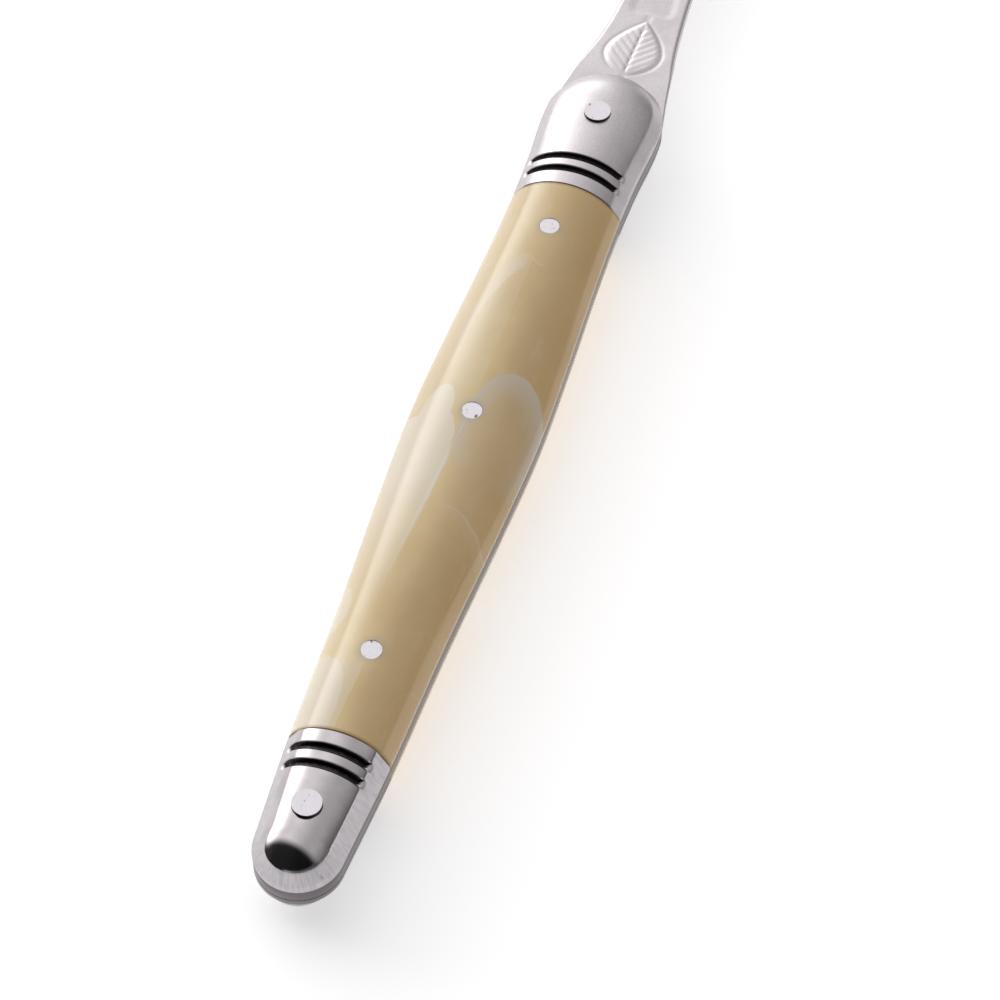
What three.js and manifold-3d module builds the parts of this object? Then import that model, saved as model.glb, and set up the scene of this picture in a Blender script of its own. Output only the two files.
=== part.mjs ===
// A folding and creasing tool with a riveted full-tang handle. One steel plate runs from the round
// tip to the butt. Two resin scales and four steel bolsters are clamped to it by five through rivets.
// Lengths are in millimetres. Along the tool, 0 is the middle rivet and +X points to the working tip.
// +Y is the tool's left, +Z is up, and z = 0 is the middle of the tang.

import * as THREE from 'three';
import { mergeVertices } from 'three/addons/utils/BufferGeometryUtils.js';
import Module from 'manifold-3d';

const wasm = await Module();
wasm.setup();

// ---- Driving dimensions -------------------------------------------------------------------------

const TANG_THICKNESS = 1.4;
const BLADE_THICKNESS = 1.3;
const STEM_DIP = 0.85; // the blade lies this far below the tang
const GLUE_GAP = 0.02; // hairline between the stacked pieces
const PIN_GAP = 0.03; // radial gap round a rivet

const FRONT_SEAM = 31.0; // where the scales meet the front bolsters
const REAR_SEAM = -38.2; // where the scales meet the rear bolsters
const FRONT_ROUND = 44.3; // centre of the front bolster's round end
const REAR_ROUND = -48.5; // centre of the butt's round end
const FRONT_REACH = 6.12; // how far the front bolster's end stands past its centre
const REAR_REACH = 4.25;
const FRONT_DOME_REACH = 5.06; // the same for the crowned dome inside the rim
const REAR_DOME_REACH = 3.55;

const CREST_Z = 4.8; // top of the crowned scales
const EDGE_Z = 1.25; // top of the short upright edge that the scales and bolsters share
const RIVET_TOP_Z = 5.0; // flat top of the bolster rivets

const SCALE_RIVET_R = 1.0;
const BOLSTER_RIVET_R = 1.365;
const SCALE_RIVETS_X = { front: 25.0, middle: 0, rear: -29.05 };
const BOLSTER_RIVETS_X = { front: 41.7, rear: -46.0 };

const GROOVE_R = 0.45;
const FRONT_GROOVES_X = [33.2, 35.0];
const REAR_GROOVES_X = [-40.0, -41.8];

const TIP_ROUND = 138; // centre of the elliptical tip
const TIP_REACH = 12.25;

// Half width of the handle and then of the stem and blade, seen from above.
const HALF_WIDTH = [
  [-48.5, 4.15], [-38, 4.85], [-24, 5.35], [-10, 6.12], [1, 6.53], [12, 6.28], [22, 5.88], [29, 5.72],
  [36, 5.83], [FRONT_ROUND, 6.2], [47, 5.8], [50, 5.3], [54, 4.8], [60, 4.06], [65, 3.68], [70, 3.5],
  [76, 3.4], [84, 4.0], [92, 5.6], [100, 7.4], [108, 8.7], [116, 9.2], [128, 8.7], [TIP_ROUND, 7.6],
];

// ---- Curves -------------------------------------------------------------------------------------

function curveThrough(points) {
  const interpolant = new THREE.CubicInterpolant(
    points.map(([x]) => x), points.map(([, value]) => value), 1);
  return (x) => interpolant.evaluate(x)[0];
}

const { lerp, smoothstep, degToRad } = THREE.MathUtils;
const halfWidth = curveThrough(HALF_WIDTH);
const crest = curveThrough([[-48.5, 4.55], [-38, 4.74], [0, CREST_Z], [31, 4.72], [FRONT_ROUND, 4.6]]);
// On a bolster the crease parts the crowned top from the bevelled rim. It has an inset and a height.
const creaseInset = curveThrough([
  [-48.5, 1.0], [-43, 1.05], [-38, 1.15], [31, 1.1], [38, 1.05], [FRONT_ROUND, 1.05]]);
const creaseZ = curveThrough([
  [-48.5, 2.95], [-43, 3.1], [-38, 3.25], [31, 2.85], [38, 2.8], [FRONT_ROUND, 2.7]]);

// Half angle of the arc that rises so far over such a half width.
function arcAngle(half, rise) {
  return 2 * Math.atan(rise / half);
}

// A crowned arc from the crest (q = 0) to the crease (q = 1): how far out it is, and how high.
function crownArc(q, angle) {
  return {
    out: Math.sin(q * angle) / Math.sin(angle),
    up: (Math.cos(q * angle) - Math.cos(angle)) / (1 - Math.cos(angle)),
  };
}

// ---- Solids -------------------------------------------------------------------------------------

// A box that folds shut on the tool's middle plane leaves two walls back to back there: drop them.
function solid(geometry, foldsShut = false) {
  const bare = geometry.clone();
  bare.deleteAttribute('normal');
  bare.deleteAttribute('uv');
  const merged = mergeVertices(bare, 1e-5);
  const position = merged.attributes.position;
  const onMiddlePlane = (i) => Math.abs(position.getY(i)) < 1e-6;
  const triangles = [];
  for (let i = 0; i < merged.index.count; i += 3) {
    const corners = [0, 1, 2].map((k) => merged.index.getX(i + k));
    const collapsed = new Set(corners).size < 3;
    const folded = foldsShut && corners.every(onMiddlePlane);
    if (!collapsed && !folded) triangles.push(...corners);
  }
  return new wasm.Manifold(new wasm.Mesh({
    numProp: 3,
    vertProperties: new Float32Array(position.array),
    triVerts: new Uint32Array(triangles),
  }));
}

function geometryOf(manifold) {
  const mesh = manifold.getMesh();
  const geometry = new THREE.BufferGeometry();
  geometry.setAttribute('position', new THREE.BufferAttribute(mesh.vertProperties, mesh.numProp));
  geometry.setIndex(new THREE.BufferAttribute(mesh.triVerts, 1));
  geometry.computeVertexNormals();
  return geometry;
}

// A box of cells whose corners are moved to place(station, across, level). station counts along the
// tool, across runs from -1 to 1, and level is 0 at the bottom and 1 at the top.
function shapedBox(stations, cells, place) {
  const geometry = new THREE.BoxGeometry(stations, 2, 1, stations, cells, 1);
  const position = geometry.attributes.position;
  for (let i = 0; i < position.count; i += 1) {
    const station = Math.round(position.getX(i) + stations / 2);
    position.setXYZ(i, ...place(station, position.getY(i), position.getZ(i) + 0.5));
  }
  return geometry;
}

function blockFrom([x0, y0, z0], [x1, y1, z1]) {
  const geometry = new THREE.BoxGeometry(x1 - x0, y1 - y0, z1 - z0);
  return solid(geometry.translate((x0 + x1) / 2, (y0 + y1) / 2, (z0 + z1) / 2));
}

function roundBar(x, radius, halfLength) {
  const geometry = new THREE.CylinderGeometry(radius, radius, 2 * halfLength, 28);
  return geometry.rotateX(Math.PI / 2).translate(x, 0, 0);
}

function drilled(body, holes) {
  return holes.reduce(
    (left, [x, radius]) => left.subtract(solid(roundBar(x, radius + PIN_GAP, 2 * CREST_Z))), body);
}

const SCALE_HOLES = Object.values(SCALE_RIVETS_X).map((x) => [x, SCALE_RIVET_R]);

// ---- Blade and tang -----------------------------------------------------------------------------

const STEM_START = FRONT_ROUND + FRONT_REACH;
const stemDip = (x) => STEM_DIP * smoothstep(x, STEM_START, 61.5);
const plateThickness = (x) => lerp(TANG_THICKNESS, BLADE_THICKNESS, smoothstep(x, 70, 92));
const plateTop = (x) => plateThickness(x) / 2 - stemDip(x);

function plateStations() {
  const steps = [];
  const lastAngle = degToRad(80);
  for (let i = 8; i > 0; i -= 1) {
    const angle = lastAngle * i / 8;
    steps.push([REAR_ROUND - REAR_REACH * Math.sin(angle), halfWidth(REAR_ROUND) * Math.cos(angle)]);
  }
  const spans = [
    [REAR_ROUND, FRONT_ROUND, 18], [FRONT_ROUND, STEM_START, 4], [STEM_START, 66, 9], [66, TIP_ROUND, 20],
  ];
  for (const [from, to, count] of spans) {
    for (let i = 0; i < count; i += 1) {
      const x = lerp(from, to, i / count);
      steps.push([x, halfWidth(x)]);
    }
  }
  for (let i = 0; i <= 10; i += 1) {
    const angle = lastAngle * i / 10;
    steps.push([TIP_ROUND + TIP_REACH * Math.sin(angle), halfWidth(TIP_ROUND) * Math.cos(angle)]);
  }
  return steps;
}

// The stem's and blade's edges are rounded over; the tang's are square, flush with what it carries.
function plateBody() {
  const stations = plateStations();
  return solid(shapedBox(stations.length - 1, 3, (station, across, level) => {
    const [x, half] = stations[station];
    const edge = Math.min(1.0, 0.5 * half);
    const outer = Math.abs(across) > 0.9;
    const y = Math.sign(across) * (outer ? half : half - edge);
    const drop = outer ? 0.4 * smoothstep(x, STEM_START, 56) : 0;
    const z = (level > 0.5 ? 1 : -1) * (plateThickness(x) / 2 - drop) - stemDip(x);
    return [x, y, z];
  }));
}

// A single leaf, its base at the bolster, stands a little proud of the stem as ornament.
function leafRelief() {
  const [base, tip, spread, height] = [52.2, 60.8, 2.7, 0.28];
  const leaf = new THREE.Shape();
  leaf.moveTo(base, 0);
  leaf.bezierCurveTo(base + 1.5, -1.35 * spread, tip - 3.2, -1.25 * spread, tip, 0);
  leaf.bezierCurveTo(tip - 3.2, 1.25 * spread, base + 1.5, 1.35 * spread, base, 0);
  const geometry = new THREE.ExtrudeGeometry(leaf, { depth: 1, bevelEnabled: false, curveSegments: 10 });
  const position = geometry.attributes.position;
  for (let i = 0; i < position.count; i += 1) {
    const top = plateTop(position.getX(i));
    position.setZ(i, position.getZ(i) > 0.5 ? top + height : top - 0.4);
  }
  return solid(geometry);
}

// A shallow channel with round ends runs up the stem from the leaf and fades out on the blade.
function stemChannel() {
  const [from, to, half, floor] = [61.8, 90, 2.3, -0.4];
  const corner = 1.2;
  const outline = new THREE.Shape();
  outline.moveTo(from + corner, -half);
  outline.lineTo(to, -half);
  outline.lineTo(to, half);
  outline.lineTo(from + corner, half);
  outline.absarc(from + corner, half - corner, corner, Math.PI / 2, Math.PI, false);
  outline.absarc(from + corner, -half + corner, corner, Math.PI, 1.5 * Math.PI, false);
  const geometry = new THREE.ExtrudeGeometry(outline, { depth: 2, bevelEnabled: false, curveSegments: 6 });
  return solid(geometry.translate(0, 0, floor));
}

function bladeAndTang() {
  const body = plateBody().add(leafRelief()).subtract(stemChannel());
  const bolsterHoles = Object.values(BOLSTER_RIVETS_X).map((x) => [x, BOLSTER_RIVET_R]);
  return drilled(body, [...SCALE_HOLES, ...bolsterHoles]);
}

// ---- Handle scales ------------------------------------------------------------------------------

const SECTION_CELLS = 14;
const BASE_Z = TANG_THICKNESS / 2 + GLUE_GAP;

// A point of the arc from the spine (q = 0) down to its foot (q = 1).
function crownedPoint(q, spine, foot) {
  const half = Math.hypot(foot.x - spine.x, foot.y - spine.y);
  const { out, up } = crownArc(q, arcAngle(half, spine.z - foot.z));
  const point = new THREE.Vector3().lerpVectors(spine, foot, out);
  point.z = lerp(foot.z, spine.z, up);
  return point;
}

// One plain arc crowns a scale from edge to edge.
function scale() {
  const stations = 20;
  const body = solid(shapedBox(stations, SECTION_CELLS, (station, across, level) => {
    const x = lerp(REAR_SEAM + GLUE_GAP, FRONT_SEAM - GLUE_GAP, station / stations);
    const half = halfWidth(x);
    if (level < 0.5) return [x, across * half, BASE_Z];
    const spine = new THREE.Vector3(x, 0, crest(x));
    const edge = new THREE.Vector3(x, Math.sign(across) * half, EDGE_Z);
    return crownedPoint(Math.abs(across), spine, edge).toArray();
  }));
  return drilled(body, SCALE_HOLES);
}

// ---- Bolsters -----------------------------------------------------------------------------------

// end is 1 for the front and -1 for the rear. Sections stand square to the tool as far as the centre
// of the round end and then fan out about it, so the crown closes as a dome inside a bevelled rim.
function bolster({ end, seam, roundCentre, reach, domeReach, grooves, rivetX }) {
  const crownShare = 1 - 2 / SECTION_CELLS; // the outermost cell on each side is the bevelled rim
  const [straight, fan] = [6, 7];
  const body = solid(shapedBox(straight + fan, SECTION_CELLS, (station, across, level) => {
    const along = Math.min(station / straight, 1);
    const turn = Math.max(station - straight, 0) / fan * Math.PI / 2;
    const x = lerp(seam, roundCentre, along);
    const side = end * Math.sign(across);
    const half = halfWidth(x);
    const placeAt = (past, out, z) => new THREE.Vector3(
      x + end * past * Math.sin(turn), side * out * Math.cos(turn), z);
    const spine = new THREE.Vector3(x, 0, crest(x));
    if (level < 0.5) {
      return new THREE.Vector3(x, 0, BASE_Z).lerp(placeAt(reach, half, BASE_Z), Math.abs(across)).toArray();
    }
    const crease = placeAt(domeReach, half - creaseInset(x), creaseZ(x));
    const edge = placeAt(reach, half, EDGE_Z);
    const t = Math.abs(across);
    return (t > crownShare + 1e-6
      ? crease.lerp(edge, (t - crownShare) / (1 - crownShare))
      : crownedPoint(t / crownShare, spine, crease)).toArray();
  }), true);
  const cut = grooves.reduce((left, x) => left.subtract(grooveCutter(x)), body);
  return drilled(cut, [[rivetX, BOLSTER_RIVET_R]]);
}

// A groove is filed round the crown from crease to crease, and stops short of the rim.
function grooveCutter(x) {
  const half = halfWidth(x) - creaseInset(x);
  const radius = half / Math.sin(arcAngle(half, crest(x) - creaseZ(x)));
  const ring = new THREE.TorusGeometry(radius, GROOVE_R, 6, 36);
  ring.rotateY(Math.PI / 2).translate(x, 0, crest(x) - radius);
  const reach = halfWidth(x);
  return solid(ring).intersect(blockFrom([x - 1, -reach, creaseZ(x)], [x + 1, reach, 2 * CREST_Z]));
}

const frontBolster = bolster({
  end: 1,
  seam: FRONT_SEAM + GLUE_GAP,
  roundCentre: FRONT_ROUND,
  reach: FRONT_REACH,
  domeReach: FRONT_DOME_REACH,
  grooves: FRONT_GROOVES_X,
  rivetX: BOLSTER_RIVETS_X.front,
});

const rearBolster = bolster({
  end: -1,
  seam: REAR_SEAM - GLUE_GAP,
  roundCentre: REAR_ROUND,
  reach: REAR_REACH,
  domeReach: REAR_DOME_REACH,
  grooves: REAR_GROOVES_X,
  rivetX: BOLSTER_RIVETS_X.rear,
});

// ---- Assembly -----------------------------------------------------------------------------------

const satinSteel = new THREE.MeshStandardMaterial({ color: 0xbeb9bb, roughness: 0.3, metalness: 1 });
const brightSteel = new THREE.MeshStandardMaterial({ color: 0xc8c6ca, roughness: 0.12, metalness: 1 });
const rivetSteel = new THREE.MeshStandardMaterial({ color: 0xd6d3d9, roughness: 0.35, metalness: 1 });
const ivoryResin = new THREE.MeshStandardMaterial({ color: 0xcdb88c, roughness: 0.12, metalness: 0 });

const group = new THREE.Group();

function addPiece(name, geometry, material, underside = false) {
  const mesh = new THREE.Mesh(geometry, material);
  mesh.name = name;
  if (underside) mesh.rotation.x = Math.PI;
  group.add(mesh);
}

addPiece('blade_and_tang', geometryOf(bladeAndTang()), satinSteel);

const stackedPairs = [
  ['handle_scale', geometryOf(scale()), ivoryResin],
  ['front_bolster', geometryOf(frontBolster), satinSteel],
  ['rear_bolster', geometryOf(rearBolster), brightSteel],
];
for (const [name, geometry, material] of stackedPairs) {
  addPiece(`${name}_upper`, geometry, material);
  addPiece(`${name}_lower`, geometry, material, true);
}

for (const [place, x] of Object.entries(SCALE_RIVETS_X)) {
  addPiece(`scale_rivet_${place}`, roundBar(x, SCALE_RIVET_R, crest(x) + GLUE_GAP), rivetSteel);
}
for (const [place, x] of Object.entries(BOLSTER_RIVETS_X)) {
  addPiece(`bolster_rivet_${place}`, roundBar(x, BOLSTER_RIVET_R, RIVET_TOP_Z), rivetSteel);
}

// The origin is under the middle of the tool's length, on the surface that the tool lies on.
const bounds = new THREE.Box3().setFromObject(group);
group.position.set(-(bounds.min.x + bounds.max.x) / 2, 0, -bounds.min.z);

export default group;
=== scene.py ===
import math

import bmesh
import bpy
from mathutils import Matrix, Vector, noise


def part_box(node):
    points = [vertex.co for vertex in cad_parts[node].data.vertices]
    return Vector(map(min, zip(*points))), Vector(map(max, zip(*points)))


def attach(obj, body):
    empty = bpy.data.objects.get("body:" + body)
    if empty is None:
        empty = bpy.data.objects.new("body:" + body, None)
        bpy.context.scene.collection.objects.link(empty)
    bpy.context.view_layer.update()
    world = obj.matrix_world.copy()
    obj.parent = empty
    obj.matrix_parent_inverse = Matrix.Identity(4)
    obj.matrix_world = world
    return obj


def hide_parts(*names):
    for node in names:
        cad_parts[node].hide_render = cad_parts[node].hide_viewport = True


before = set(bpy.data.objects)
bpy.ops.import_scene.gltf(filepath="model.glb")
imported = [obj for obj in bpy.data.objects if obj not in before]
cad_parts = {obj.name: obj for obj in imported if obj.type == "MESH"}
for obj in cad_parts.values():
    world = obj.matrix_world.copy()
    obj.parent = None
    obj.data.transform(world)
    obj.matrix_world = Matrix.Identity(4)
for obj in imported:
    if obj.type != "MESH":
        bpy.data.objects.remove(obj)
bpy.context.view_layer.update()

# ------------------------------------------------------------------ Steel plate: tang, stem, blade
# One stainless plate, blanked to outline and 1.4 mm thick, is the tang, the stem and the blunt blade.
# The stem is stamped with a leaf and a shallow channel, and drops a little below the tang. All
# lengths in this file are millimetres from the middle rivet, with z = 0 in the middle of the tang.

middle_low, middle_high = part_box("scale_rivet_middle")
BENCH = (middle_low + middle_high) / 2
TO_FRAME = Matrix.Translation(BENCH) @ Matrix.Scale(0.001, 4)


def eased(x, start, stop):
    """0 before start, 1 after stop, and a smooth ramp between."""
    t = min(max((x - start) / (stop - start), 0.0), 1.0)
    return t * t * (3 - 2 * t)


def mix(a, b, t):
    return a + (b - a) * t


def fair_curve(points):
    """A smooth curve through (place, value) points, bent as a batten is."""
    places = [p for p, _ in points]
    values = [v for _, v in points]
    steps = [(values[i + 1] - values[i]) / (places[i + 1] - places[i]) for i in range(len(points) - 1)]
    slopes = [steps[0]] + [(a + b) / 2 for a, b in zip(steps, steps[1:])] + [steps[-1]]

    def value(x):
        i = max(k for k in range(len(places) - 1) if places[k] <= x or k == 0)
        span = places[i + 1] - places[i]
        t = min(max((x - places[i]) / span, 0.0), 1.0)
        a, b = values[i], values[i + 1]
        bend = (1 - t) * ((slopes[i] * span - (b - a)) * (1 - t) - (slopes[i + 1] * span - (b - a)) * t)
        return a + (b - a) * t + t * bend

    return value


REAR_ROUND = -48.5
REAR_REACH = 4.25
FRONT_ROUND = 44.3
FRONT_REACH = 6.12
TIP_ROUND = 138.0
TIP_REACH = 12.25
TANG_THICKNESS = 1.4
BLADE_THICKNESS = 1.3
STEM_START = FRONT_ROUND + FRONT_REACH
STEM_DIP = 0.85
NECK = 64.5
DIP_END = 61.5
ROUND_TURNS = 16
TANG_EDGE_RADIUS = 0.06
STEM_EDGE_RADIUS = 0.5

half_width = fair_curve([
    (REAR_ROUND, 4.15), (-38, 4.85), (-24, 5.35), (-10, 6.12), (1, 6.53), (12, 6.28), (22, 5.88),
    (29, 5.72), (36, 5.83), (FRONT_ROUND, 6.2), (47, 5.8), (50, 5.3), (54, 4.8), (60, 4.06),
    (65, 3.68), (70, 3.5), (76, 3.4), (84, 4.0), (92, 5.6), (100, 7.4), (108, 8.7), (116, 9.2),
    (128, 8.7), (TIP_ROUND, 7.6)])


def pressed_sheet(columns, rows, place, marks=()):
    """A flat sheet of cells, each corner pressed to place(column, across), across from -1 to 1.
    place gives the point, then a number for each of the marks that the finish will read there."""
    sheet = bmesh.new()
    bmesh.ops.create_grid(sheet, x_segments=columns, y_segments=rows, size=1.0)
    layers = [sheet.verts.layers.float.new(mark) for mark in marks]
    for corner in sheet.verts:
        column = round((corner.co.x + 1) / 2 * columns)
        point, *numbers = place(column, corner.co.y)
        corner.co = point
        for layer, number in zip(layers, numbers):
            corner[layer] = number
    bmesh.ops.remove_doubles(sheet, verts=sheet.verts, dist=1e-4)
    return sheet


def backed(sheet, floor_z):
    """Draws the open edge of a sheet down to floor_z and closes it underneath."""
    edge = [e for e in sheet.edges if e.is_boundary]
    drawn = bmesh.ops.extrude_edge_only(sheet, edges=edge)["geom"]
    for corner in (g for g in drawn if isinstance(g, bmesh.types.BMVert)):
        corner.co.z = floor_z
    open_edge = [g for g in drawn if isinstance(g, bmesh.types.BMEdge) and g.is_boundary]
    bmesh.ops.contextual_create(sheet, geom=open_edge)
    return sheet


class Reading:
    """A number that a finish works out at every point of a surface."""

    def __init__(self, tree, socket):
        self.tree = tree
        self.socket = socket

    def feed(self, node, values):
        for entry, value in zip(node.inputs, values):
            if isinstance(value, Reading):
                self.tree.links.new(value.socket, entry)
            else:
                entry.default_value = value
        return Reading(self.tree, node.outputs[0])

    def work(self, operation, *others):
        node = self.tree.nodes.new("ShaderNodeMath")
        node.operation = operation
        return self.feed(node, (self, *others))

    def __add__(self, other):
        return self.work("ADD", other)

    def __sub__(self, other):
        return self.work("SUBTRACT", other)

    def __mul__(self, other):
        return self.work("MULTIPLY", other)

    def __truediv__(self, other):
        return self.work("DIVIDE", other)

    def __pow__(self, other):
        return self.work("POWER", other)

    def __abs__(self):
        return self.work("ABSOLUTE")

    def ramp(self, start, stop, low=0.0, high=1.0):
        """low before start, high after stop, smooth between."""
        node = self.tree.nodes.new("ShaderNodeMapRange")
        node.interpolation_type = "SMOOTHSTEP"
        return self.feed(node, (self, start, stop, low, high))

    def ridge(self, middle, width):
        """1 on a line where the reading is middle, fading to 0 at width to each side of it."""
        return abs(self - middle).ramp(0.0, width, 1.0, 0.0)


class Finish:
    """A material whose nodes know where a point lies on the bench, in millimetres."""

    def __init__(self, name):
        self.material = bpy.data.materials.new(name)
        self.material.use_nodes = True
        self.tree = self.material.node_tree
        self.shader = self.tree.nodes["Principled BSDF"]
        self.place = self.tree.nodes.new("ShaderNodeTexCoord").outputs["Object"]
        bench = self.moved(self.place, location=-1000 * BENCH, scale=(1000, 1000, 1000))
        self.place = bench
        parts = self.tree.nodes.new("ShaderNodeSeparateXYZ")
        self.tree.links.new(bench, parts.inputs[0])
        self.x, self.y, self.z = (Reading(self.tree, part) for part in parts.outputs)

    def moved(self, point, location=(0, 0, 0), scale=(1, 1, 1)):
        node = self.tree.nodes.new("ShaderNodeMapping")
        node.inputs["Location"].default_value = location
        node.inputs["Scale"].default_value = scale
        self.tree.links.new(point, node.inputs["Vector"])
        return node.outputs[0]

    def point(self, x, y, z):
        node = self.tree.nodes.new("ShaderNodeCombineXYZ")
        self.x.feed(node, (x, y, z))
        return node.outputs[0]

    def grain(self, per_mm, detail=3.0, roughness=0.5, stretch=(1, 1, 1), point=None):
        """A cloudy reading from about 0.25 to 0.75, with per_mm waves to the millimetre."""
        node = self.tree.nodes.new("ShaderNodeTexNoise")
        node.inputs["Scale"].default_value = per_mm
        node.inputs["Detail"].default_value = detail
        node.inputs["Roughness"].default_value = roughness
        self.tree.links.new(self.moved(point or self.place, scale=stretch), node.inputs["Vector"])
        return Reading(self.tree, node.outputs["Fac"])

    def mark(self, name):
        """What a piece's own mark of this name says."""
        node = self.tree.nodes.new("ShaderNodeAttribute")
        node.attribute_name = name
        return Reading(self.tree, node.outputs["Fac"])

    def blend(self, under, over, amount):
        """One colour over another, by the amount read at each point."""
        node = self.tree.nodes.new("ShaderNodeMix")
        node.data_type = "RGBA"
        self.tree.links.new(amount.socket, node.inputs["Factor"])
        for name, colour in (("A", under), ("B", over)):
            entry = next(i for i in node.inputs if i.type == "RGBA" and i.name == name)
            if isinstance(colour, tuple):
                entry.default_value = (*colour, 1)
            else:
                self.tree.links.new(colour, entry)
        return next(o for o in node.outputs if o.type == "RGBA")

    def paint(self, colour):
        self.tree.links.new(colour, self.shader.inputs["Base Color"])

    def gloss(self, roughness):
        self.tree.links.new(roughness.socket, self.shader.inputs["Roughness"])

    def relief(self, height):
        """Raises the skin by height, in millimetres, in the way it takes the light."""
        node = self.tree.nodes.new("ShaderNodeBump")
        node.inputs["Distance"].default_value = 0.001
        self.tree.links.new(height.socket, node.inputs["Height"])
        self.tree.links.new(node.outputs["Normal"], self.shader.inputs["Normal"])


def finished_piece(name, shape, stands_for, finish, crisp=35.0):
    """Brings a shape from the bench to its place, smooths it, and rides it on the tool."""
    bmesh.ops.recalc_face_normals(shape, faces=shape.faces)
    bmesh.ops.transform(shape, matrix=TO_FRAME, verts=shape.verts)
    mesh = bpy.data.meshes.new(name)
    shape.to_mesh(mesh)
    shape.free()
    mesh.shade_smooth()
    mesh.set_sharp_from_angle(angle=math.radians(crisp))
    mesh.materials.append(finish.material)
    piece = bpy.data.objects.new(name, mesh)
    bpy.context.scene.collection.objects.link(piece)
    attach(piece, "root")
    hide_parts(stands_for)
    return piece


def drill(piece, holes):
    """Drills round holes straight through a piece, at (place along the tool, radius)."""
    bits = bmesh.new()
    for x, radius in holes:
        bmesh.ops.create_cone(
            bits, cap_ends=True, segments=48, radius1=radius, radius2=radius, depth=20,
            matrix=Matrix.Translation((x, 0, 0)))
    bmesh.ops.transform(bits, matrix=TO_FRAME, verts=bits.verts)
    mesh = bpy.data.meshes.new("drill_bits")
    bits.to_mesh(mesh)
    bits.free()
    bit = bpy.data.objects.new("drill_bits", mesh)
    bpy.context.scene.collection.objects.link(bit)
    cut = piece.modifiers.new("holes", "BOOLEAN")
    cut.operation = "DIFFERENCE"
    cut.solver = "EXACT"
    cut.object = bit
    bpy.context.view_layer.update()
    graph = bpy.context.evaluated_depsgraph_get()
    drilled = bpy.data.meshes.new_from_object(piece.evaluated_get(graph))
    piece.modifiers.clear()
    piece.data = drilled
    bpy.data.objects.remove(bit)
    drilled.set_sharp_from_angle(angle=math.radians(35))


RIVET_PLACES = {"front": 25.0, "middle": 0.0, "rear": -29.05}
BOLSTER_RIVET_PLACES = {"front": 41.7, "rear": -46.0}
RIVET_RADIUS = 1.0
BOLSTER_RIVET_RADIUS = 1.365
HOLE_PLAY = 0.03
scale_holes = [(x, RIVET_RADIUS + HOLE_PLAY) for x in RIVET_PLACES.values()]


def plate_columns():
    """(centre, turn, end) for each line of corners across the plate, fanned at the two round ends."""
    turns = [math.radians(90) * i / ROUND_TURNS for i in range(ROUND_TURNS + 1)]
    columns = [(REAR_ROUND, turn, -1) for turn in reversed(turns[1:])]
    runs = [(REAR_ROUND, STEM_START, 90), (STEM_START, NECK, 100), (NECK, TIP_ROUND, 110)]
    for start, stop, count in runs:
        columns += [(mix(start, stop, i / count), 0.0, 1) for i in range(count)]
    return columns + [(TIP_ROUND, turn, 1) for turn in turns]


def leaf_height(x, y):
    """The stamped leaf: a pillowed blade with a sunk midrib, side veins and a sunk outline."""
    base, tip, spread = 51.6, 60.9, 3.0
    vein_pitch = 1.25
    s = (x - base) / (tip - base)
    if not -0.1 < s < 1.1:
        return 0.0
    s_in = min(max(s, 0.0), 1.0)
    edge = spread * math.sin(math.pi * s_in ** 0.75) ** 0.85
    inside = edge - abs(y)
    body = 0.12 * eased(inside, -0.1, 0.7)
    outline = -0.06 * math.exp(-((inside + 0.12) / 0.2) ** 2)
    if inside <= 0:
        return outline
    midrib = -0.09 * math.exp(-(y / 0.17) ** 2) * eased(1 - s, 0.02, 0.15)
    along_vein = (x - base) - 1.15 * abs(y)
    off_vein = along_vein / vein_pitch - round(along_vein / vein_pitch)
    veins = -0.045 * math.exp(-(off_vein * vein_pitch / 0.18) ** 2) * eased(inside, 0.25, 0.7)
    return body + outline + midrib + veins


def channel_depth(x, y):
    """The channel pressed up the middle of the stem, round at its start and fading at the blade."""
    border, corner, start, depth = 1.25, 1.1, 61.9, 0.11
    from_side = half_width(x) - border - abs(y)
    from_start = x - start
    if from_side < corner and from_start < corner:
        inside = corner - math.hypot(corner - from_side, corner - from_start)
    else:
        inside = min(from_side, from_start)
    return depth * eased(inside, -0.3, 0.8) * (1 - eased(x, 76, 88))


def plate_thickness(x):
    return mix(TANG_THICKNESS, BLADE_THICKNESS, eased(x, 70, 92))


def plate_face(side):
    """The upper (side 1) or under (side -1) face of the plate, down to its rounded-over edge."""
    columns = plate_columns()
    cells = 72

    def place(column, across):
        centre, turn, end = columns[column]
        reach = TIP_REACH if end > 0 else REAR_REACH
        t = 1 - (1 - abs(across)) ** 1.5
        x = centre + end * reach * math.sin(turn) * t
        y = math.copysign(half_width(centre) * math.cos(turn) * t, across)
        rounding = mix(TANG_EDGE_RADIUS, STEM_EDGE_RADIUS, eased(x, STEM_START, 57))
        from_edge = (1 - t) * math.hypot(half_width(centre) * math.cos(turn), reach * math.sin(turn))
        short = max(1 - from_edge / rounding, 0.0)
        drop = rounding * (1 - math.sqrt(1 - short * short))
        z = side * (plate_thickness(x) / 2 - drop) - STEM_DIP * eased(x, STEM_START, DIP_END)
        # painted shade: the blanked edge of the tang is marked for darkening, standing in for the
        # shadowed table reflected there, partly also the duller cut finish
        edge_shade = 1 - eased(from_edge, 0.0, 0.12)
        patina_and_shade = 0.0
        if side > 0 and x > STEM_START:
            leaf = leaf_height(x, y)
            z += leaf - channel_depth(x, y)
            # painted shade: the sunk outline and veins of the leaf are marked to be darkened
            patina_and_shade = 0.6 * eased(-leaf, 0.02, 0.1)
        return (x, y, z), patina_and_shade, edge_shade * (1 - eased(x, STEM_START, 58))

    return pressed_sheet(len(columns) - 1, cells, place, marks=("patina_and_shade", "edge"))


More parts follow.
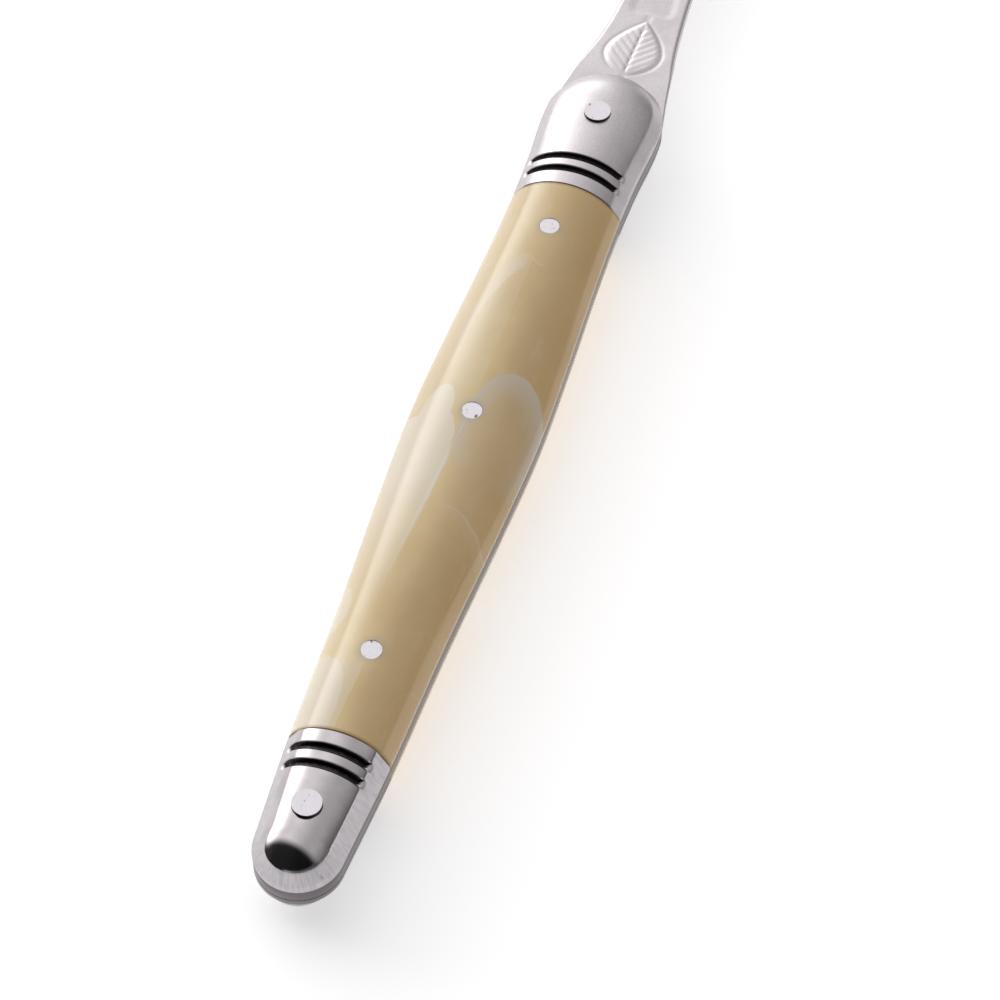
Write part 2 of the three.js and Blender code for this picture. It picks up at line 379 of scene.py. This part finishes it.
def steel_plate():
    plate = plate_face(1)
    under = plate_face(-1)
    spare = bpy.data.meshes.new("under_face")
    under.to_mesh(spare)
    under.free()
    plate.from_mesh(spare)
    bpy.data.meshes.remove(spare)
    bmesh.ops.bridge_loops(plate, edges=[e for e in plate.edges if e.is_boundary])
    return plate


def satin_finish():
    """Stainless steel off a fine belt: a soft grey sheen, faintly mottled and lightly rubbed."""
    satin = Finish("satin_steel")
    satin.shader.inputs["Metallic"].default_value = 1.0
    cloud = satin.grain(0.35, detail=2)
    mottle = satin.grain(4.5, detail=4, roughness=0.6)
    brushed = satin.grain(5.0, detail=3, roughness=0.6, stretch=(0.06, 1, 1))
    scratches = satin.grain(3.0, detail=1, stretch=(0.05, 1.6, 1.6)).ridge(0.5, 0.012)
    patina_and_shade = satin.mark("patina_and_shade")
    rim = satin.mark("rim")
    steel = satin.blend((0.50, 0.468, 0.475), (0.585, 0.548, 0.556), mottle.ramp(0.3, 0.7))
    steel = satin.blend(steel, (0.47, 0.435, 0.447), cloud.ramp(0.4, 0.75) * 0.5)
    # painted shade: the tang's cut edges are darkened, standing in for the shadowed table reflected
    # there, and partly for the duller blanked finish
    steel = satin.blend(steel, (0.10, 0.085, 0.09), satin.mark("edge") * 0.85)
    # painted shade: the lower caps and the lower edge of the plate are darkened in a band along their
    # seam with the tang, in place of the dark reflected from beneath
    underside_shade_band = satin.z.ramp(-2.3, -1.4) * satin.z.ramp(-0.3, -0.72) * satin.x.ramp(52.0, 50.4)
    steel = satin.blend(steel, (0.14, 0.125, 0.135), underside_shade_band * 0.8)
    # near black where marked: patina in the grooves, with painted shade on their bottom and far wall, and
    # painted shade in the leaf's sunk lines
    tarnish = satin.grain(1.6, detail=4).ramp(0.48, 0.66)
    black = satin.blend((0.015, 0.014, 0.016), (0.030, 0.022, 0.018), tarnish)
    satin.paint(satin.blend(steel, black, patina_and_shade.ramp(0.25, 0.8)))
    satin.gloss(mottle * 0.14 + 0.22 + cloud * 0.06 + patina_and_shade * 0.1 + rim * 0.06)
    satin.relief(mottle * 0.005 + brushed * 0.004 - scratches * 0.0006)
    return satin


satin_steel = satin_finish()
blade = finished_piece("steel_plate", steel_plate(), "blade_and_tang", satin_steel)
drill(blade, scale_holes + [(x, BOLSTER_RIVET_RADIUS + HOLE_PLAY) for x in BOLSTER_RIVET_PLACES.values()])

# ------------------------------------------------------------------------------------ Resin scales
# Two slabs of marbled cast resin, each crowned across in one plain arc, are glued and pinned to the
# two faces of the tang. They are polished on the wheel until they shine, and meet the bolsters square.

FRONT_SEAM = 31.0
REAR_SEAM = -38.2
GLUE_GAP = 0.02
SEAM_BREAK = 0.06
SEAM_DROP = 0.05
FLOOR_Z = TANG_THICKNESS / 2 + GLUE_GAP
EDGE_Z = 1.25

crest = fair_curve([(REAR_ROUND, 4.55), (-38, 4.74), (0, 4.8), (31, 4.72), (FRONT_ROUND, 4.6)])


def arc_point(q, spine, foot, sink=0.0):
    """A point of the arc from the spine (q = 0) down to its foot (q = 1), sunk below the skin."""
    outward = foot - spine
    outward.z = 0
    angle = 2 * math.atan((spine.z - foot.z) / outward.length)
    point = spine.lerp(foot, math.sin(q * angle) / math.sin(angle))
    point.z = mix(foot.z, spine.z, (math.cos(q * angle) - math.cos(angle)) / (1 - math.cos(angle)))
    outward.normalize()
    return point - sink * (math.sin(q * angle) * outward + math.cos(q * angle) * Vector((0, 0, 1)))


def scale_blank():
    """One slab, from seam to seam, with the sharp corner at each seam broken."""
    stations = [REAR_SEAM + GLUE_GAP, REAR_SEAM + GLUE_GAP + SEAM_BREAK]
    runs = 150
    stations += [mix(REAR_SEAM + 0.2, FRONT_SEAM - 0.2, i / runs) for i in range(runs + 1)]
    stations += [FRONT_SEAM - GLUE_GAP - SEAM_BREAK, FRONT_SEAM - GLUE_GAP]

    def place(column, across):
        x = stations[column]
        side = math.copysign(1, across)
        sink = SEAM_DROP if column in (0, len(stations) - 1) else 0.0
        spine = Vector((x, 0, crest(x)))
        edge = Vector((x, side * half_width(x), EDGE_Z))
        return (arc_point(abs(across), spine, edge, sink),)

    return backed(pressed_sheet(len(stations) - 1, 80, place), FLOOR_Z)


def turned_over(shape):
    """The same piece for the underside of the tool."""
    bmesh.ops.rotate(shape, verts=shape.verts, matrix=Matrix.Rotation(math.pi, 3, "X"))
    return shape


def oval(x, y, middle, reach, power=2.0):
    """How far a point lies outside an oval, in oval radii: below 0 inside, 0 on its line."""
    out = abs((x - middle[0]) / reach[0]) ** power + abs((y - middle[1]) / reach[1]) ** power
    return out ** (1 / power) - 1


def resin_finish():
    """Cast resin in horn colours: pale cream folded into tan, with crisp lobes, wisps and threads."""
    resin = Finish("marbled_resin")
    resin.shader.inputs["Subsurface Weight"].default_value = 0.15
    resin.shader.inputs["Subsurface Radius"].default_value = (1.0, 0.65, 0.35)
    resin.shader.inputs["Subsurface Scale"].default_value = 0.0012
    face = resin.z.work("SIGN")
    drift = resin.grain(0.32, detail=2) - 0.5
    waver = resin.grain(0.9, detail=2) - 0.5
    x = resin.x * face + (face - 1) * 6 + drift * 1.2
    y = resin.y + waver * 0.2

    clouds = resin.grain(0.11, detail=3, stretch=(1, 1.6, 1)).ramp(0.3, 0.72)
    tan = resin.blend((0.80, 0.625, 0.335), (0.71, 0.53, 0.265), clouds)
    # painted shade and painted light: the tan is painted darker towards the right (-y) side and paler
    # towards the left, the way the light from the left falls across the crown
    right = y.ramp(1.5, -5.0)
    tan = resin.blend(tan, (0.56, 0.355, 0.155), right * 0.6)
    left = y.ramp(0.2, 3.2)
    tan = resin.blend(tan, (0.74, 0.62, 0.42), left * 0.5)

    # the crisp lobe right of the middle pin, pale at its skin and clearing inwards
    right_lobe = oval(x, y, (-2.0, -3.2), (8.0, 3.9))
    skin = right_lobe.ramp(0.015, -0.015) * right_lobe.ramp(-0.55, 0.0, 0.12, 0.85) * x.ramp(-9.0, -3.0)
    colour = resin.blend(tan, (0.66, 0.575, 0.46), skin)

    # the pale body along the left, which starts in two rounded steps by the middle pin
    thread = (x + 5.0) * -0.06 + 0.45 - waver * 0.1
    step = oval(x, y, (-0.4, 3.6), (3.5, 1.6)).ramp(0.03, -0.03)
    run = oval(x, y, (-8.5, 4.5), (8.0, 3.95), power=4.0).ramp(0.012, -0.012) * x.ramp(-15.5, -8.0)
    trail = (y - thread).ramp(-0.05, 0.08) * x.ramp(-4.6, -5.4) * x.ramp(-25.0, -9.0)
    body = step.work("MAXIMUM", run).work("MAXIMUM", trail * 0.8)
    colour = resin.blend(colour, (0.80, 0.73, 0.60), body * 0.75)

    # the thread itself, whitest behind the middle pin
    line = (y - thread).ridge(0.0, 0.34) * x.ramp(-4.0, -6.5) * x.ramp(-24.0, -9.0)
    colour = resin.blend(colour, (0.82, 0.80, 0.76), line * 0.6)
    hair = (y - thread).ridge(0.0, 0.07) * x.ramp(-6.0, -3.0) * x.ramp(-0.6, -1.2)
    colour = resin.blend(colour, (0.80, 0.72, 0.56), hair * 0.7)

    # a veil swept up towards the front pin, with a small curl at its tip
    veil_edge = oval(x, y, (8.5, -1.0), (13.0, 5.5))
    veil = veil_edge.ramp(-0.16, -0.12) * veil_edge.ramp(0.12, -0.1) * y.ramp(0.3, 1.2) * x.ramp(4.0, 9.0)
    colour = resin.blend(colour, (0.80, 0.72, 0.64), veil * x.ramp(21.4, 20.4) * 0.4)
    upper_step = (y - 0.2).ramp(-0.03, 0.05) * x.ramp(-1.0, 1.5) * x.ramp(21.4, 20.4)
    colour = resin.blend(colour, (0.80, 0.71, 0.53), upper_step * 0.16)
    curl = (y * 0.35 + (y * 3.1).work("SINE") * 0.12 + 20.1 - x).ridge(0.0, 0.1)
    colour = resin.blend(colour, (0.86, 0.78, 0.60), curl * y.ramp(0.6, 0.2) * y.ramp(-1.3, -0.8) * 0.45)

    # thin arcs, like the edges of soap films, and a patch below the rear pin
    far_edge = oval(x, y, (-19.0, -1.4), (7.4, 5.6))
    far_film = far_edge.ramp(-0.3, 0.0) * far_edge.ramp(0.01, 0.0) * 0.5
    far_arc = (far_edge.ridge(0.0, 0.04) + far_film) * y.ramp(-0.2, -1.4)
    near_arc = oval(x, y, (-31.0, -4.6), (6.0, 4.0)).ridge(0.0, 0.035) * y.ramp(-1.0, -2.6)
    small_arc = oval(x, y, (-34.5, -6.0), (4.2, 2.6)).ridge(0.0, 0.04) * x.ramp(-36.0, -33.0)
    films = far_arc * x.ramp(-18.5, -15.0) * 0.22 + near_arc * 0.07 + small_arc * 0.1
    colour = resin.blend(colour, (0.80, 0.73, 0.62), films)
    patch = oval(x, y, (-36.5, 4.6), (6.6, 3.6), power=2.4).ramp(0.015, -0.015)
    colour = resin.blend(colour, (0.82, 0.77, 0.67), patch * 0.45)
    behind = (y - (x + 30.0) * -0.044 - 0.1).ramp(-0.06, 0.06) * x.ramp(-29.0, -31.5)
    colour = resin.blend(colour, (0.80, 0.74, 0.62), behind * 0.35)
    crescent = oval(x, y, (-24.5, 6.4), (3.4, 2.6)).ramp(0.02, -0.02)
    colour = resin.blend(colour, (0.82, 0.77, 0.67), crescent * 0.4)
    wisps = resin.grain(0.5, detail=3, roughness=0.65, stretch=(0.35, 1.0, 1.0)).ramp(0.56, 0.7)
    colour = resin.blend(colour, (0.78, 0.70, 0.56), wisps * 0.10)

    # the resin greys a little round each pin, and the glue browns its ends
    for pin_x in RIVET_PLACES.values():
        from_pin = ((resin.x - pin_x) ** 2 + resin.y ** 2) ** 0.5
        colour = resin.blend(colour, (0.42, 0.38, 0.36), from_pin.ramp(0.9, 1.9, 0.30, 0.0))
    glued = abs(resin.x - (FRONT_SEAM + REAR_SEAM) / 2).ramp(
        (FRONT_SEAM - REAR_SEAM) / 2 - 0.45, (FRONT_SEAM - REAR_SEAM) / 2 - 0.05)
    colour = resin.blend(colour, (0.34, 0.19, 0.05), glued * 0.7)
    resin.paint(colour)

    smear = resin.grain(0.8, detail=3)
    hairlines = resin.grain(1.5, detail=1, stretch=(0.4, 2.2, 2.2)).ridge(0.5, 0.004)
    resin.gloss(smear * 0.10 + 0.07 + hairlines * 0.1)
    resin.relief(resin.grain(0.7, detail=2) * 0.010 + resin.grain(5.0, detail=2) * 0.0006)
    return resin


marbled_resin = resin_finish()
upper_scale = finished_piece(
    "upper_scale", scale_blank(), "handle_scale_upper", marbled_resin)
lower_scale = finished_piece(
    "lower_scale", turned_over(scale_blank()), "handle_scale_lower", marbled_resin)
for slab in (upper_scale, lower_scale):
    drill(slab, scale_holes)

# ---------------------------------------------------------------------------------------- Bolsters
# Four stainless caps, ground to shape and riveted through the tang. Each closes in a dome inside a
# straight ground rim, and has two round grooves filed over its crown, dark with patina and painted shade.

FRONT_GROOVES = (33.2, 35.0)
REAR_GROOVES = (-40.0, -41.8)
FRONT_DOME_REACH = 5.06
REAR_DOME_REACH = 3.55
GROOVE_HALF_WIDTH = 0.5
GROOVE_DEPTH = 0.42
CROWN_SHARE = 0.8
RUBBED = 0.022

crease_inset = fair_curve([
    (REAR_ROUND, 1.0), (-43, 1.05), (-38, 1.15), (31, 1.1), (38, 1.05), (FRONT_ROUND, 1.05)])
crease_z = fair_curve([
    (REAR_ROUND, 2.95), (-43, 3.1), (-38, 3.25), (31, 2.85), (38, 2.8), (FRONT_ROUND, 2.7)])


def bolster_section(t, spine, crease, edge, sink=0.0):
    """A point of the crown (t up to CROWN_SHARE) or of the straight ground rim outside it."""
    if t <= CROWN_SHARE:
        return arc_point(t / CROWN_SHARE, spine, crease, sink)
    rim_point = crease.lerp(edge, (t - CROWN_SHARE) / (1 - CROWN_SHARE))
    return rim_point + arc_point(1.0, spine, crease, sink) - crease


def rubbed_section(t, spine, crease, edge, sink):
    """The section with its crease rubbed a little round, as polishing leaves it."""
    near = RUBBED * min(1.0, abs(1 - t) / RUBBED)
    weights = ((-1.0, 0.17), (-0.5, 0.22), (0.0, 0.22), (0.5, 0.22), (1.0, 0.17))
    points = [(w, bolster_section(abs(t + near * k), spine, crease, edge, sink)) for k, w in weights]
    return sum((w * point for w, point in points), Vector())


def groove_sink(x, grooves):
    """How deep the file has gone at x."""
    deepest = 0.0
    for groove in grooves:
        off = abs(x - groove) / GROOVE_HALF_WIDTH
        if off < 1:
            deepest = max(deepest, GROOVE_DEPTH * (1 - off ** 2) ** 0.8)
    return deepest


def groove_patina_and_shade(x, grooves):
    """Blackening in the bottom and on the far wall of a groove, from 0 to 1: partly patina, partly
    painted shade and painted dark reflection.
    """
    along = [(x - groove) / GROOVE_HALF_WIDTH for groove in grooves]
    return max(eased(a, -0.45, 0.0) * (1 - eased(a, 0.82, 1.0)) for a in along)


def past_round(reach, out, turn):
    """About how far round the oval end a turn has gone, in millimetres."""
    return turn * (reach + out) / 2


def bolster_blank(end, seam, round_centre, reach, dome_reach, grooves):
    """One cap, from its seam to its round end. end is 1 for the front and -1 for the rear."""
    stations = [seam, seam + end * SEAM_BREAK]
    stops = sorted([abs(seam) + 0.15] + [abs(g) + k for g in grooves for k in (-0.62, 0.62)])
    for start, stop in zip(stops, stops[1:]):
        count = max(4, round((stop - start) / 0.06))
        stations += [end * mix(start, stop, i / count) for i in range(count)]
    count = 24
    stations += [mix(end * stops[-1], round_centre, i / count) for i in range(count)]
    straight = len(stations)
    turns = 24
    last = straight + turns

    def place(column, across):
        turn = math.radians(90) * max(column - straight, 0) / turns
        x = stations[column] if column < straight else round_centre
        side = end * math.copysign(1, across)
        t = abs(across)

        def ring(past, out, z):
            return Vector((x + end * past * math.sin(turn), side * out * math.cos(turn), z))

        spine = Vector((x, 0, crest(x)))
        crease = ring(dome_reach, half_width(x) - crease_inset(x), crease_z(x))
        edge = ring(reach, half_width(x), EDGE_Z)
        groove_end = 0.79 + 0.05 * side
        fade = 1 - eased(t, groove_end, groove_end + 0.10)
        cut = groove_sink(x, grooves) * fade
        sink = SEAM_DROP if column == 0 else cut
        point = rubbed_section(t, spine, crease, edge, sink)
        run = side * (abs(x) + past_round(reach, half_width(x), turn))
        # the groove blackening: patina, with painted shade and painted dark reflection on the bottom and
        # far wall
        patina_and_shade = groove_patina_and_shade(x, grooves) * fade
        return point, patina_and_shade, eased(t, CROWN_SHARE - 0.01, CROWN_SHARE + 0.02), run

    return backed(pressed_sheet(last, 80, place, marks=("patina_and_shade", "rim", "run")), FLOOR_Z)


def front_blank():
    return bolster_blank(
        1, FRONT_SEAM + GLUE_GAP, FRONT_ROUND, FRONT_REACH, FRONT_DOME_REACH, FRONT_GROOVES)


def rear_blank():
    return bolster_blank(
        -1, REAR_SEAM - GLUE_GAP, REAR_ROUND, REAR_REACH, REAR_DOME_REACH, REAR_GROOVES)


def bright_finish():
    """Stainless steel off the buffing wheel, with its bevelled rim left as the stone ground it."""
    bright = Finish("bright_steel")
    bright.shader.inputs["Metallic"].default_value = 1.0
    patina_and_shade = bright.mark("patina_and_shade")
    rim = bright.mark("rim")
    run = bright.mark("run")
    cloud = bright.grain(0.5, detail=2)
    fine = bright.grain(6.0, detail=3)
    hairlines = bright.grain(1.2, detail=2, stretch=(0.5, 2.0, 2.0)).ridge(0.5, 0.006)
    strokes = bright.grain(4.5, detail=3, roughness=0.65, point=bright.point(run, bright.z * 0.12, 0.0))
    nicks = bright.grain(1.3, detail=3, point=bright.point(run, bright.z, 0.0)).ramp(0.66, 0.73)
    steel = bright.blend((0.52, 0.487, 0.492), (0.455, 0.425, 0.432), cloud.ramp(0.3, 0.7))
    steel = bright.blend(steel, (0.56, 0.535, 0.56), rim * 0.8)
    steel = bright.blend(steel, (0.40, 0.375, 0.39), rim * strokes.ramp(0.42, 0.62) * 0.5)
    steel = bright.blend(steel, (0.20, 0.18, 0.18), rim * nicks * 0.4)
    # painted shade: the lower caps are darkened in a band along their seam with the tang, as on the satin
    # steel
    underside_shade_band = bright.z.ramp(-2.3, -1.4) * bright.z.ramp(-0.3, -0.72)
    steel = bright.blend(steel, (0.14, 0.125, 0.135), underside_shade_band * 0.8)
    # grooves near black: patina, with painted shade and painted dark reflection on their bottom and far
    # wall
    tarnish = bright.grain(2.2, detail=4).ramp(0.48, 0.64)
    black = bright.blend((0.012, 0.012, 0.014), (0.032, 0.024, 0.020), tarnish)
    bright.paint(bright.blend(steel, black, patina_and_shade.ramp(0.25, 0.8)))
    bright.gloss(cloud * 0.05 + 0.07 + hairlines * 0.05 + rim * 0.26 + patina_and_shade * 0.15)
    bright.relief(fine * 0.0006 + rim * strokes * 0.012 - rim * nicks * 0.01 - hairlines * 0.0008)
    return bright


bright_steel = bright_finish()
for place_name, blank, steel_slot, steel in (
        ("front", front_blank, "satin_steel", satin_steel),
        ("rear", rear_blank, "bright_steel", bright_steel)):
    hole = [(BOLSTER_RIVET_PLACES[place_name], BOLSTER_RIVET_RADIUS + HOLE_PLAY)]
    for level, turn_over in (("upper", False), ("lower", True)):
        shape = turned_over(blank()) if turn_over else blank()
        cap = finished_piece(
            f"{place_name}_cap_{level}", shape, f"{place_name}_bolster_{level}", steel)
        drill(cap, hole)

# ------------------------------------------------------------------------------------------ Rivets
# Stainless pins through the whole stack. The three scale pins are ground flush with the crown, and
# the two bolster rivets are thicker and stand a little proud, with flat hammered tops.

RIVET_TOP = 5.0
PIN_PROUD = 0.04
END_DROP = 0.05


def rivet_blank(x, radius, top):
    """A round bar with softened ends that a hammer has marked a little."""
    bar = bmesh.new()
    bmesh.ops.create_circle(bar, cap_ends=True, segments=64, radius=radius)
    face = bar.faces[:]
    for _ in range(6):
        bmesh.ops.inset_region(bar, faces=face, thickness=radius / 9)
    for corner in bar.verts:
        dent = noise.noise(Vector((corner.co.x + x, corner.co.y, 3.1)) * 1.6 / radius)
        rise = 0.03 * (1 - (corner.co.length / radius) ** 2)
        worn_edge = END_DROP if corner.co.length > 0.99 * radius else 0.0
        corner.co.z = top - END_DROP + 0.012 * dent + rise - worn_edge
    drawn = bmesh.ops.extrude_edge_only(bar, edges=[e for e in bar.edges if e.is_boundary])["geom"]
    for corner in (g for g in drawn if isinstance(g, bmesh.types.BMVert)):
        corner.co.z = 0
    half = bar.verts[:] + bar.edges[:] + bar.faces[:]
    bmesh.ops.mirror(bar, geom=half, axis="Z", merge_dist=1e-4)
    bmesh.ops.translate(bar, verts=bar.verts, vec=(x, 0, 0))
    return bar


def rivet_finish():
    """Soft white steel, peened and rubbed flat, with a few nicks."""
    peened = Finish("rivet_steel")
    peened.shader.inputs["Metallic"].default_value = 1.0
    dents = peened.grain(1.1, detail=3)
    fine = peened.grain(7.0, detail=4, roughness=0.65)
    nicks = peened.grain(2.4, detail=3, roughness=0.6).ramp(0.66, 0.72)
    chip = oval(peened.x, peened.y, (-0.56, -0.62), (0.20, 0.16)).ramp(0.25, -0.3)
    marks = nicks.work("MAXIMUM", chip)
    steel = peened.blend((0.66, 0.635, 0.665), (0.60, 0.575, 0.60), fine.ramp(0.35, 0.7))
    steel = peened.blend(steel, (0.10, 0.09, 0.09), marks * 0.85)

    # painted shade: the side of the two proud rivets is darkened low down, standing in for shade and the
    # dark end reflected there
    from_rear, from_front = (abs(peened.x - BOLSTER_RIVET_PLACES[end]) for end in ("rear", "front"))
    from_middle = from_rear.work("MINIMUM", from_front)
    wall = (from_middle ** 2 + peened.y ** 2) ** 0.5
    proud = wall.ramp(BOLSTER_RIVET_RADIUS - 0.02, BOLSTER_RIVET_RADIUS - 0.005)
    low = abs(peened.z).ramp(RIVET_TOP - 0.28, RIVET_TOP - 0.08, 1.0, 0.0)
    peened.paint(peened.blend(steel, (0.05, 0.045, 0.045), proud * low * from_middle.ramp(2.0, 1.6)))
    peened.gloss(fine * 0.12 + 0.30 + dents * 0.08)
    peened.relief(dents * 0.012 + fine * 0.004 - marks * 0.03)
    return peened


rivet_steel = rivet_finish()
for place_name, x in RIVET_PLACES.items():
    pin = rivet_blank(x, RIVET_RADIUS, crest(x) + PIN_PROUD)
    finished_piece(f"pin_{place_name}", pin, f"scale_rivet_{place_name}", rivet_steel)
for place_name, x in BOLSTER_RIVET_PLACES.items():
    pin = rivet_blank(x, BOLSTER_RIVET_RADIUS, RIVET_TOP + 0.01)
    finished_piece(
        f"cap_rivet_{place_name}", pin, f"bolster_rivet_{place_name}", rivet_steel)

# --------------------------------------------------------------------------- Table, light, camera
# The tool lies on a plain pale table in a soft white room, with a bright window low on its left, a
# dark end behind it and the camera above the butt.

table = bmesh.new()
bmesh.ops.create_grid(table, x_segments=1, y_segments=1, size=3.0)
table_mesh = bpy.data.meshes.new("table_top")
table.to_mesh(table_mesh)
table.free()
paper = Finish("white_paper")
paper.paint(paper.blend((0.95, 0.95, 0.95), (0.94, 0.94, 0.94), paper.grain(0.02)))
paper.shader.inputs["Emission Color"].default_value = (1, 1, 1, 1)
paper.shader.inputs["Emission Strength"].default_value = 0.45
paper.shader.inputs["Roughness"].default_value = 0.9
table_mesh.materials.append(paper.material)
table_top = bpy.data.objects.new("table_top", table_mesh)
bpy.context.scene.collection.objects.link(table_top)

camera = bpy.data.cameras.new("camera")
camera.lens = 108
camera.sensor_width = 36
camera.clip_start = 0.01
viewer = bpy.data.objects.new("camera", camera)
bpy.context.scene.collection.objects.link(viewer)
CAMERA_HEADING = math.radians(17.869)
CAMERA_DROP = math.radians(53.025)
CAMERA_DISTANCE = 280.8
aim = Vector((-9.45, -5.87, 4.8))
look = Vector((
    math.cos(CAMERA_HEADING) * math.cos(CAMERA_DROP), math.sin(CAMERA_HEADING) * math.cos(CAMERA_DROP),
    -math.sin(CAMERA_DROP)))
viewer.location = TO_FRAME @ (aim - CAMERA_DISTANCE * look)
viewer.rotation_euler = (math.pi / 2 - CAMERA_DROP, 0, CAMERA_HEADING - math.pi / 2)
bpy.context.scene.camera = viewer

room = bpy.data.worlds.new("studio")
room.use_nodes = True
bpy.context.scene.world = room
way = room.node_tree.nodes.new("ShaderNodeTexCoord")
parts = room.node_tree.nodes.new("ShaderNodeSeparateXYZ")
room.node_tree.links.new(way.outputs["Generated"], parts.inputs[0])
ahead, aside, above = (Reading(room.node_tree, part) for part in parts.outputs)
left_share = aside.ramp(-0.5, 0.4)
left_wall = above.ramp(0.0, 0.14, 0.85, 1.3) * left_share
right_wall = above.ramp(0.0, 0.7, 0.16, 0.66) * (left_share * -1 + 1)
dark_heading = math.radians(171)
toward_dark = ahead * math.cos(dark_heading) + aside * math.sin(dark_heading)
low_wall = above.ramp(0.28, 0.4, 0.5, 0.0) * aside.ramp(0.1, 0.35, 1.0, 0.0)
dark_end = toward_dark.ramp(-0.02, 0.3, 1.0, 0.02).work("MAXIMUM", low_wall)
window_heading = math.radians(65)
toward_window = ahead * math.cos(window_heading) + aside * math.sin(window_heading)
WINDOW_GLOW = 2.6
window = toward_window.ramp(0.45, 0.95) * above.ramp(0.02, 0.22) * above.ramp(0.24, 0.78, 1.0, 0.0)
seen = Reading(room.node_tree, room.node_tree.nodes.new("ShaderNodeLightPath").outputs["Is Camera Ray"])
glow = ((left_wall + right_wall + window * WINDOW_GLOW) * dark_end).work("MAXIMUM", seen)
room.node_tree.links.new(glow.socket, room.node_tree.nodes["Background"].inputs["Strength"])
room.node_tree.nodes["Background"].inputs["Color"].default_value = (1.0, 0.99, 1.0, 1)

bpy.context.scene.view_settings.view_transform = "Standard"
